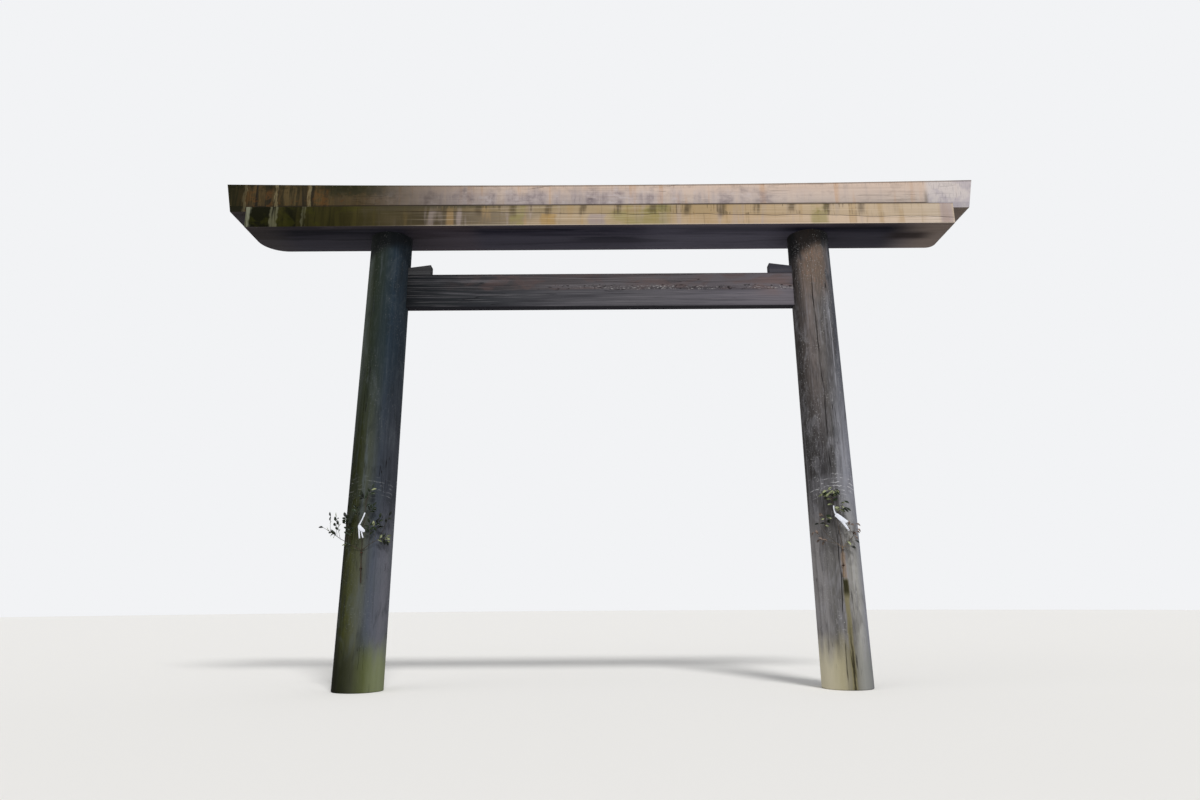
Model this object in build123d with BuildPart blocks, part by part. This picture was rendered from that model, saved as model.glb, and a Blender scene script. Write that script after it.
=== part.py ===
from build123d import *
import os
from math import atan2, cos, degrees, radians, sin, tan

# A timber shrine gate of two round posts set in the ground, a tie beam wedged between them and
# a lintel of two beams laid on their tops. The long way of the gate is X, the way through it is Y,
# and the origin lies on the ground, midway between the posts.

# Posts: tapered cypress logs that lean towards each other
FOOT_SPACING = 5638        # between the post axes, on the ground
POST_LEAN = 84             # how far each axis has moved inwards where the lintel rests on it
POST_FOOT_RADIUS = 292
POST_TOP_RADIUS = 259
SOFFIT_HEIGHT = 5620       # the ground to the underside of the lintel
SAW_ALLOWANCE = 100        # extra log at each end before it is sawn level
TENON_SIDE = 220           # square tenon on each post's top
TENON_HEIGHT = 430
TENON_HEADROOM = 10        # free room over the tenon's end

# Lower lintel beam
LOWER_LENGTH = 9030
LOWER_DEPTH = 820
LOWER_HEIGHT = 280
LOWER_BACK_ROUND = 120     # the worn lower arris at the back
LOWER_END_ROUND = 140      # its worn ends, seen from above

# Upper lintel beam: a pentagon in section, with slanted ends
UPPER_LENGTH = 9570        # along its underside
UPPER_DEPTH = 560
UPPER_EAVES_HEIGHT = 350   # vertical face, at mid length
UPPER_RIDGE_RISE = 110     # from the top of the face to the ridge
UPPER_END_RISE = 40        # how far the top curves up to its ends
UPPER_END_SLANT = 10.5     # degrees that the ends lean outwards

# Tie beam and its wedges
TIE_DROP = 519             # from the underside of the lintel to its top
TIE_HEIGHT = 450
TIE_THICKNESS = 130
TIE_PAST_AXIS = 110        # how far its ends run past the post axes
TIE_SIDE_PLAY = 0.3        # between the tie and each cheek of its mortise
TIE_END_PLAY = 5
WEDGE_SHOWING = 284        # free length, measured from the post
WEDGE_END_HEIGHT = 134
WEDGE_SLOPE = 7.5          # degrees
WEDGE_PAST_AXIS = 0        # how far its thin end runs past the post axis

# Arrises
BEAM_ARRIS = 6
TIE_ARRIS = 4
FOOT_ARRIS = 8

# Leafy twigs stapled to the front of the posts, with a paper streamer hung from each. A place on a
# post is a height, an angle from the post's front and, off the post, a distance from its surface.
TWIG_RADIUS = 7
TWIG_TIP_RADIUS = 2.5
TWIG_STANDOFF = 0.5        # between the stem and the post
TWIG_FACET_TURN = 45       # degrees from one side of a twig's section to the next
BRANCH_SHARE = 0.7         # a side branch's thickness at the fork, as a share of the stem's
STEMS = {
    "left": [(1205, 5.0), (1371, 2.3), (1546, 1.2)],
    "right": [(1236, -2.6), (1371, -1.6), (1546, 0.6)],
}
STEM_TOP = {"left": (1590, 1.2), "right": (1587, -0.4)}
BRANCHES = {
    "left": [
        [(1700, 2.0, 36), (1880, 3.0, 50), (2003, 3.9, 55), (2200, 6.0, 50)],
        [(1635, -20.0, 40), (1695, -46.0, 60), (1780, -68.0, 140), (1850, -75.0, 250)],
        [(1640, 16.0, 36), (1700, 34.0, 45), (1770, 52.0, 45)],
    ],
    "right": [
        [(1700, -3.0, 36), (1900, -8.0, 46), (2052, -11.9, 56), (2200, -17.0, 50)],
        [(1640, -16.0, 36), (1740, -34.0, 50), (1850, -44.0, 50)],
        [(1640, 14.0, 36), (1740, 30.0, 50), (1850, 34.0, 45)],
    ],
}
STAPLE_WIRE = 4            # radius
STAPLE_LEG = 45            # how far the legs go into the post
STAPLE_PLAY = 0.5          # between a leg and its hole
PAPER = 1.2
LOOP_THREAD = 2.4          # thickness of the thread tied round the branch
LOOP_PLAY = 0.4
STREAMER_OUTLINES = {
    "left": [
        (-10, 2), (11, 0), (2, -40), (-36, -134), (-2, -173), (30, -213), (-2, -241), (4, -298),
        (-14, -300), (-38, -232), (-31, -303), (-53, -305), (-66, -200), (-70, -160), (-57, -126),
        (-19, -49),
    ],
    "right": [
        (-9, 2), (10, 0), (10, -47), (34, -85), (85, -128), (157, -183), (160, -202), (119, -207),
        (146, -255), (134, -270), (85, -221), (34, -157), (7, -136), (10, -98), (-7, -51),
    ],
}

# What follows from the sizes above
TWIG_FACETS = round(360 / TWIG_FACET_TURN)
POST_TAPER = (POST_FOOT_RADIUS - POST_TOP_RADIUS) / SOFFIT_HEIGHT
LOWER_TOP = SOFFIT_HEIGHT + LOWER_HEIGHT
TIE_TOP = SOFFIT_HEIGHT - TIE_DROP
TIE_BOTTOM = TIE_TOP - TIE_HEIGHT
SIDES = {"left": -1, "right": 1}


def axis_x(height):
    """How far a post's axis is from the gate's middle at a height."""
    return FOOT_SPACING / 2 - POST_LEAN * height / SOFFIT_HEIGHT


def post_radius(height):
    """The radius of a post at a height."""
    return POST_FOOT_RADIUS - POST_TAPER * height


def on_post(side, height, angle, out):
    """A point round a post: angle in degrees from its front, out from its surface."""
    reach = post_radius(height) + out
    turn = radians(angle)
    return Vector(side * axis_x(height) + reach * sin(turn), -reach * cos(turn), height)


def wedge_outline(side):
    """The corners of a wedge seen from the front, the free end first."""
    free_end = axis_x(TIE_TOP) - post_radius(TIE_TOP) - WEDGE_SHOWING
    thin_end = axis_x(TIE_TOP) + WEDGE_PAST_AXIS
    thin_height = WEDGE_END_HEIGHT - (thin_end - free_end) * tan(radians(WEDGE_SLOPE))
    return [
        (side * free_end, TIE_TOP),
        (side * thin_end, TIE_TOP),
        (side * thin_end, TIE_TOP + thin_height),
        (side * free_end, TIE_TOP + WEDGE_END_HEIGHT),
    ]


def stem_points(name):
    """The middle line of a twig's stem, from its cut end to the fork."""
    foot_out = TWIG_STANDOFF + TWIG_RADIUS
    return [on_post(SIDES[name], *place, foot_out) for place in STEMS[name] + [STEM_TOP[name]]]


def radii_along(points, first_radius, last_radius):
    """The radius of an evenly tapered bar at each of its points."""
    lengths = [(b - a).length for a, b in zip(points, points[1:])]
    fall = (first_radius - last_radius) / sum(lengths)
    return [first_radius - fall * sum(lengths[:count]) for count in range(len(points))]


def leader(name):
    """The line and the radii of a twig's stem and the branch that goes on from it."""
    stem = stem_points(name)
    branch = [stem[-1]] + [on_post(SIDES[name], *place) for place in BRANCHES[name][0]]
    radii = radii_along(branch, TWIG_RADIUS, TWIG_TIP_RADIUS)
    return stem[:-1] + branch, [TWIG_RADIUS] * (len(stem) - 1) + radii


def side_branch(name, places):
    """The line and the radii of a branch that starts inside its twig's fork."""
    line = [stem_points(name)[-1]] + [on_post(SIDES[name], *place) for place in places]
    return line, radii_along(line, TWIG_RADIUS * BRANCH_SHARE, TWIG_TIP_RADIUS)


def tapered_bar(points, radii):
    """A bar with a many-sided section through points, of a given radius at each."""
    with BuildPart() as bar:
        for index, (point, radius) in enumerate(zip(points, radii)):
            before, after = points[max(index - 1, 0)], points[min(index + 1, len(points) - 1)]
            with BuildSketch(Plane(origin=point, x_dir=(0, 1, 0), z_dir=after - before)):
                RegularPolygon(radius, TWIG_FACETS)
        loft(ruled=True)
    return bar.part


def staple_path(side, height, angle, leg):
    """The corners of a staple over a stem, from the end of one leg to the end of the other."""
    crown = 2 * TWIG_STANDOFF + 2 * TWIG_RADIUS + STAPLE_WIRE
    half = TWIG_RADIUS + STAPLE_WIRE + 2 * STAPLE_PLAY
    surface = on_post(side, height, angle, 0)
    turn = radians(angle)
    out = Vector(sin(turn), -cos(turn), 0)
    across = Vector(cos(turn), sin(turn), 0)
    return [
        surface - across * half - out * leg,
        surface - across * half + out * crown,
        surface + across * half + out * crown,
        surface + across * half - out * leg,
    ]


def staples(name, wire, leg):
    """Both staples of one post's twig, as mitred wires of a radius and a leg length."""
    pair = []
    for place in STEMS[name][1:]:
        corners = staple_path(SIDES[name], *place, leg)
        with BuildPart() as staple:
            with BuildLine() as bend:
                Polyline(*corners)
            with BuildSketch(Plane(origin=corners[0], z_dir=corners[1] - corners[0])):
                Circle(wire)
            sweep(path=bend.wire(), transition=Transition.RIGHT)
        pair.append(staple.part)
    return pair


os.makedirs("parts", exist_ok=True)


def save(piece, name):
    """Label a finished piece and write it to its file."""
    piece.part.label = name
    export_step(piece.part, f"parts/{name}.step")


# Posts
for name, side in SIDES.items():
    foot = Vector(side * FOOT_SPACING / 2, 0, 0)
    top = Vector(side * (FOOT_SPACING / 2 - POST_LEAN), 0, SOFFIT_HEIGHT)
    with BuildPart() as post:
        log_plane = Plane(origin=foot, x_dir=(0, -1, 0), z_dir=top - foot)
        with BuildSketch(log_plane.offset(-SAW_ALLOWANCE)):
            Circle(post_radius(-SAW_ALLOWANCE))
        extrude(amount=SOFFIT_HEIGHT + 2 * SAW_ALLOWANCE, taper=degrees(atan2(POST_TAPER, 1)))
        split(bisect_by=Plane.XY, keep=Keep.TOP)
        split(bisect_by=Plane.XY.offset(SOFFIT_HEIGHT), keep=Keep.BOTTOM)
        chamfer(post.faces().sort_by(Axis.Z)[0].edges(), length=FOOT_ARRIS)
        with BuildSketch(Plane.XY.offset(SOFFIT_HEIGHT)):
            with Locations((top.X, 0)):
                Rectangle(TENON_SIDE, TENON_SIDE)
        extrude(amount=TENON_HEIGHT)
        with BuildSketch(Plane.XZ) as mortise:
            with BuildLine():
                inner = side * (axis_x(TIE_TOP) - 2 * POST_FOOT_RADIUS)
                end = side * (axis_x(TIE_TOP) + TIE_PAST_AXIS + TIE_END_PLAY)
                Polyline(
                    (inner, TIE_BOTTOM), (end, TIE_BOTTOM), (end, TIE_TOP), (inner, TIE_TOP), close=True
                )
            make_face()
            with BuildLine():
                Polyline(*wedge_outline(side), close=True)
            make_face()
        extrude(amount=TIE_THICKNESS / 2 + TIE_SIDE_PLAY, both=True, mode=Mode.SUBTRACT)
        add(staples(name, STAPLE_WIRE + STAPLE_PLAY, STAPLE_LEG + STAPLE_PLAY), mode=Mode.SUBTRACT)
    save(post, f"{name}_post")

# Tie beam, blind in both posts
with BuildPart() as tie_beam:
    with BuildSketch(Plane.XY.offset(TIE_BOTTOM)):
        Rectangle(2 * (axis_x(TIE_TOP) + TIE_PAST_AXIS), TIE_THICKNESS)
    extrude(amount=TIE_HEIGHT)
    chamfer(tie_beam.edges().filter_by(Axis.X), length=TIE_ARRIS)
save(tie_beam, "tie_beam")

# Wedges driven in over the tie
for name, side in SIDES.items():
    with BuildPart() as wedge:
        with BuildSketch(Plane.XZ):
            with BuildLine():
                Polyline(*wedge_outline(side), close=True)
            make_face()
        extrude(amount=TIE_THICKNESS / 2, both=True)
    save(wedge, f"{name}_wedge")

# Lower lintel beam
with BuildPart() as lower_lintel:
    with BuildSketch(Plane.XY.offset(SOFFIT_HEIGHT)):
        Rectangle(LOWER_LENGTH, LOWER_DEPTH)
    extrude(amount=LOWER_HEIGHT)
    low_arrises, high_arrises = lower_lintel.edges().filter_by(Axis.X).group_by(Axis.Z)
    chamfer(high_arrises + low_arrises.sort_by(Axis.Y)[:1], length=BEAM_ARRIS)
    back_arris = lower_lintel.edges().filter_by(Axis.X).group_by(Axis.Z)[0].sort_by(Axis.Y)[-1]
    fillet(back_arris, radius=LOWER_BACK_ROUND)
    with BuildSketch(Plane.XY.offset(SOFFIT_HEIGHT)) as plan:
        Rectangle(LOWER_LENGTH, LOWER_DEPTH)
        fillet(plan.vertices().group_by(Axis.Y)[-1], radius=LOWER_END_ROUND)
    extrude(amount=LOWER_HEIGHT, mode=Mode.INTERSECT)
    with BuildSketch(Plane.XY.offset(SOFFIT_HEIGHT)):
        with Locations(*[(side * axis_x(SOFFIT_HEIGHT), 0) for side in SIDES.values()]):
            Rectangle(TENON_SIDE, TENON_SIDE)
    extrude(amount=LOWER_HEIGHT, mode=Mode.SUBTRACT)
save(lower_lintel, "lower_lintel")

# Upper lintel beam
half_length = UPPER_LENGTH / 2
half_depth = UPPER_DEPTH / 2
eaves = LOWER_TOP + UPPER_EAVES_HEIGHT
slant = radians(UPPER_END_SLANT)
end_height = UPPER_EAVES_HEIGHT + UPPER_RIDGE_RISE + 2 * UPPER_END_RISE
reach = half_length + end_height * tan(slant)
end_eaves = eaves + UPPER_END_RISE
with BuildPart() as upper_lintel:
    with BuildLine() as crown:
        ThreePointArc((-reach, 0, end_eaves), (0, 0, eaves), (reach, 0, end_eaves))
    start = Plane(origin=crown.line @ 0, x_dir=(0, 1, 0), z_dir=crown.line % 0)
    with BuildSketch(start):
        with BuildLine():
            drop = UPPER_EAVES_HEIGHT + 2 * UPPER_END_RISE
            Polyline(
                (-half_depth, -drop),
                (half_depth, -drop),
                (half_depth, 0),
                (0, UPPER_RIDGE_RISE),
                (-half_depth, 0),
                close=True,
            )
        make_face()
    sweep(path=crown.line)
    split(bisect_by=Plane.XY.offset(LOWER_TOP), keep=Keep.TOP)
    for side in SIDES.values():
        out_and_down = (side * cos(slant), 0, -sin(slant))
        end_cut = Plane(origin=(side * half_length, 0, LOWER_TOP), z_dir=out_and_down)
        split(bisect_by=end_cut, keep=Keep.BOTTOM)
    with BuildSketch(Plane.XY.offset(LOWER_TOP)):
        with Locations(*[(side * axis_x(SOFFIT_HEIGHT), 0) for side in SIDES.values()]):
            Rectangle(TENON_SIDE, TENON_SIDE)
    extrude(amount=TENON_HEIGHT - LOWER_HEIGHT + TENON_HEADROOM, mode=Mode.SUBTRACT)
save(upper_lintel, "upper_lintel")

# Twigs
for name in SIDES:
    limbs = [tapered_bar(*leader(name))]
    limbs += [tapered_bar(*side_branch(name, places)) for places in BRANCHES[name][1:]]
    with BuildPart() as twig:
        add(limbs)
    save(twig, f"{name}_twig")

# Staples over the stems
for name in SIDES:
    with BuildPart() as pair:
        add(staples(name, STAPLE_WIRE, STAPLE_LEG))
    save(pair, f"{name}_staples")

# Paper streamers, each tied by a loop of thread to its twig, at the last bend before the tip
for name in SIDES:
    line, radii = leader(name)
    knot = line[-2]
    loop_bore = radii[-2] + LOOP_PLAY
    hang = knot - Vector(0, loop_bore + LOOP_THREAD / 2, 0)
    with BuildPart() as streamer:
        with BuildSketch(Plane(origin=hang, x_dir=(1, 0, 0), z_dir=(0, -1, 0))):
            with BuildLine():
                Polyline(*STREAMER_OUTLINES[name], close=True)
            make_face()
        extrude(amount=PAPER)
        with BuildSketch(Plane(origin=knot)):
            Circle(loop_bore + LOOP_THREAD)
            Circle(loop_bore, mode=Mode.SUBTRACT)
        extrude(amount=LOOP_THREAD / 2, both=True)
    save(streamer, f"{name}_streamer")
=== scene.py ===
"""Looks for a timber torii gate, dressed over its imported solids.

Two peeled cypress logs carry a lower and an upper lintel beam, and a wedged tie beam joins them.
Each post is dressed with a cut leafy twig and a folded paper streamer. Sizes are in metres, X runs
along the lintel, Y through the gate and Z up, with the origin on the ground between the posts.
"""

from __future__ import annotations

import logging
import math
import random
from dataclasses import dataclass
from enum import Enum
from typing import Any

import bmesh
import bpy
from mathutils import Matrix, Vector

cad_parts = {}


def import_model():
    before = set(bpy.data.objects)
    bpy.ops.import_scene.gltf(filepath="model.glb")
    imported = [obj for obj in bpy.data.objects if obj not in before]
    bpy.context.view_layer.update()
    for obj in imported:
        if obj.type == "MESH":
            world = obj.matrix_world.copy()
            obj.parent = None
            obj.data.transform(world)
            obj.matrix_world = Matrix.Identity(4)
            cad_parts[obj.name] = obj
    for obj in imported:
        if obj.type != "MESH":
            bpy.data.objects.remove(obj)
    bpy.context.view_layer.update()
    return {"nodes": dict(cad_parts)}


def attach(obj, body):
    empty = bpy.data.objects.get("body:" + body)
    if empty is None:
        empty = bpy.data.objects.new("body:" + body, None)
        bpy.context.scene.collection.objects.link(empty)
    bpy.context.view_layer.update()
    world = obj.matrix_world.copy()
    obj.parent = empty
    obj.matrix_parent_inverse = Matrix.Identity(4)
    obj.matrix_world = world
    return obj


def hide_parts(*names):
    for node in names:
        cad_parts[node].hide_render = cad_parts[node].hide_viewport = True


LOG = logging.getLogger("torii")

FOOT_SPACING = 5.638
POST_LEAN = 0.084
SOFFIT_HEIGHT = 5.62
FOOT_RADIUS = 0.292
TOP_RADIUS = 0.259
LINTEL_TOP = 5.90
TIE_BOTTOM = 4.651
SPRIG_FORK_HEIGHT = 1.58
# How much weathered timber mirrors, which is hardly at all
TIMBER_GLOSS = 0.03
# A blot so long, in millimetres, that a figure stays even along that axis
EVEN = 9000


class Side(Enum):
    """Which post, as the sign of its place along X."""

    LEFT = -1
    RIGHT = 1

    @property
    def label(self) -> str:
        """The word that starts the names of this side's pieces."""
        return self.name.lower()


def linear(colour: str) -> tuple[float, float, float, float]:
    """Turns an sRGB hex colour to linear values.

    Args:
        colour: Six hex digits.

    Returns:
        Red, green, blue and alpha, from 0 to 1.
    """
    parts = [int(colour[i:i + 2], 16) / 255 for i in (0, 2, 4)]
    made = [p / 12.92 if p <= 0.04045 else ((p + 0.055) / 1.055) ** 2.4 for p in parts]
    return made[0], made[1], made[2], 1.0


def add_node(
    tree: bpy.types.NodeTree,
    kind: str,
    inputs: dict[str | int, Any] | None = None,
    stops: list[tuple[float, str]] | None = None,
    **settings: Any,
) -> bpy.types.Node:
    """Adds a node with its settings and links.

    Args:
        tree: The node tree.
        kind: The node's type name.
        inputs: A value, a socket or a figure for each input, by name or number.
        stops: For a colour ramp, each stop's place and hex colour.
        **settings: The node's own properties.

    Returns:
        The node.
    """
    node = tree.nodes.new(kind)
    for name, value in settings.items():
        setattr(node, name, value)
    if stops:
        ramp = node.color_ramp.elements
        while len(ramp) < len(stops):
            ramp.new(0.5)
        for element, (place, colour) in zip(ramp, stops):
            element.position = place
            element.color = linear(colour)
    for name, value in (inputs or {}).items():
        if isinstance(value, Figure):
            value = value.socket
        if isinstance(value, bpy.types.NodeSocket):
            tree.links.new(value, node.inputs[name])
        else:
            node.inputs[name].default_value = value
    return node


class Figure:
    """A value or a colour that varies over a piece, and what can be worked out from it.

    A mask is a value from 0 to 1, where 1 is all there: * keeps what two masks share and | joins them.
    """

    def __init__(self, socket: bpy.types.NodeSocket) -> None:
        """Takes the socket that gives the value."""
        self.socket = socket

    def add(
        self,
        kind: str,
        inputs: dict[str | int, Any],
        stops: list[tuple[float, str]] | None = None,
        output: int = 0,
        **settings: Any,
    ) -> Figure:
        """Adds a node to the same material.

        Args:
            kind: The node's type name.
            inputs: A value or a figure for each input, by name or number.
            stops: For a colour ramp, each stop's place and hex colour.
            output: The number of the output to take.
            **settings: The node's own properties.

        Returns:
            What the node gives.
        """
        return Figure(add_node(self.socket.id_data, kind, inputs, stops, **settings).outputs[output])

    def __add__(self, other: Figure | float) -> Figure:
        """The sum of two values."""
        return self.add("ShaderNodeMath", {0: self, 1: other}, operation="ADD")

    def __sub__(self, other: Figure | float) -> Figure:
        """The difference of two values."""
        return self.add("ShaderNodeMath", {0: self, 1: other}, operation="SUBTRACT")

    def __mul__(self, other: Figure | float) -> Figure:
        """The product: where both masks are, or a value made stronger or weaker."""
        return self.add("ShaderNodeMath", {0: self, 1: other}, operation="MULTIPLY")

    def __or__(self, other: Figure) -> Figure:
        """The larger of two values: where either mask is."""
        return self.add("ShaderNodeMath", {0: self, 1: other}, operation="MAXIMUM")

    def distance(self, centre: float) -> Figure:
        """How far the value is from a centre."""
        return self.add("ShaderNodeMath", {0: self - centre}, operation="ABSOLUTE")

    def reach(self, other: Figure) -> Figure:
        """How far a point is from the line where this value and another are zero."""
        flat = self.add("ShaderNodeCombineXYZ", {0: self, 1: other})
        return flat.add("ShaderNodeVectorMath", {0: flat}, output=1, operation="LENGTH")

    def waves(self, spacing: float) -> Figure:
        """Goes from -1 to 1 and back once in each spacing of the value."""
        return self.add("ShaderNodeMath", {0: self * (2.0 * math.pi / spacing)}, operation="SINE")

    def moved(self, figure: Figure, reach: float) -> Figure:
        """Moves the value up and down by a figure, so that what follows the value wanders."""
        return (figure - 0.5) * reach + self

    def spread(self, low: float, high: float) -> Figure:
        """Turns the part of the value from low to high into 0 to 1, softly. High may be under low."""
        return self.add(
            "ShaderNodeMapRange",
            {"Value": self, "From Min": low, "From Max": high},
            interpolation_type="SMOOTHSTEP",
        )

    def patch(self, centre: float, half_width: float) -> Figure:
        """Where the value is near a centre, with soft sides."""
        return self.distance(centre).spread(half_width * 1.25, half_width * 0.7)

    def lines(self, width: float) -> Figure:
        """Thin lines where the figure crosses its middle level, as long wavy checks do."""
        return self.distance(0.5).spread(width, 0.0)

    def tones(self, low: float, high: float, colours: tuple[str, ...]) -> Figure:
        """Spreads evenly spaced colours over a range of the value.

        Args:
            low: Where the first colour is.
            high: Where the last colour is.
            colours: The colours, as hex.

        Returns:
            The colour.
        """
        share = self.add("ShaderNodeMapRange", {"Value": self, "From Min": low, "From Max": high})
        stops = [(index / (len(colours) - 1), colour) for index, colour in enumerate(colours)]
        return share.add("ShaderNodeValToRGB", {"Fac": share}, stops)

    def blend(self, first: Figure, second: Figure | tuple[float, ...]) -> Figure:
        """Goes from one colour to another as this share goes from 0 to 1."""
        inputs = {"Factor": self, 6: first, 7: second}
        return self.add("ShaderNodeMix", inputs, output=2, data_type="RGBA")

    def coat(self, *stains: Stain) -> Figure:
        """Lays stains over this colour, one after the other, each a mask and a hex colour."""
        colour = self
        for mask, stain in stains:
            colour = mask.blend(colour, linear(stain))
        return colour


# Where a stain is, and its hex colour
Stain = tuple[Figure, str]


class Skin:
    """The material of one piece, with the place and the facing of each point on it."""

    def __init__(
        self, name: str, origin: tuple[float, float, float] = (0.0, 0.0, 0.0), tilt: float = 0.0
    ) -> None:
        """Starts a material whose patterns follow one piece.

        Args:
            name: The material's name.
            origin: The point of the piece from which its patterns are measured.
            tilt: How far the piece leans about Y, in radians.
        """
        self.material = bpy.data.materials.new(name)
        self.material.use_nodes = True
        self.tree = self.material.node_tree
        self.tree.nodes.clear()
        texture = add_node(self.tree, "ShaderNodeTexCoord")
        point = Figure(texture.outputs["Object"])
        self.place = point.add(
            "ShaderNodeMapping",
            {"Vector": point, "Location": origin, "Rotation": (0.0, tilt, 0.0)},
            vector_type="TEXTURE",
        )
        split = add_node(self.tree, "ShaderNodeSeparateXYZ", {0: self.place})
        self.x, self.y, self.z = map(Figure, split.outputs)
        facing = add_node(self.tree, "ShaderNodeSeparateXYZ", {0: texture.outputs["Normal"]})
        self.face_x, self.face_y, self.face_z = map(Figure, facing.outputs)

    def figure(
        self, size_mm: tuple[float, float, float], seed: float, detail: float = 3.0, warp: float = 0.0
    ) -> Figure:
        """A cloudy figure whose blots have a given size along each axis.

        Args:
            size_mm: The blots' size along X, Y and Z.
            seed: Sets one figure apart from another.
            detail: How many finer layers it has.
            warp: How far it is pulled out of shape.

        Returns:
            The figure's value, mostly from 0.25 to 0.75.
        """
        scale = tuple(1000.0 / size for size in size_mm)
        shift = (seed * 7.3, seed * 3.1, seed * 5.7)
        where = self.place.add(
            "ShaderNodeMapping", {"Vector": self.place, "Location": shift, "Scale": scale}
        )
        return where.add(
            "ShaderNodeTexNoise",
            {"Vector": where, "Scale": 1.0, "Detail": detail, "Roughness": 0.55, "Distortion": warp},
        )

    def finish(
        self, colour: Figure, relief: Figure, roughness: Figure | float, gloss: float = 0.25
    ) -> bpy.types.Material:
        """Joins the colour and the relief to a surface.

        Args:
            colour: The surface's colour.
            relief: Its relief in millimetres.
            roughness: Its roughness.
            gloss: How much it mirrors.

        Returns:
            The material.
        """
        bump = relief.add("ShaderNodeBump", {"Height": relief, "Strength": 1.0, "Distance": 0.001})
        surface = bump.add(
            "ShaderNodeBsdfPrincipled",
            {
                "Base Color": colour,
                "Roughness": roughness,
                "Normal": bump,
                "IOR": 1.45,
                "Specular IOR Level": gloss,
            },
        )
        add_node(self.tree, "ShaderNodeOutputMaterial", {"Surface": surface})
        return self.material


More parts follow.
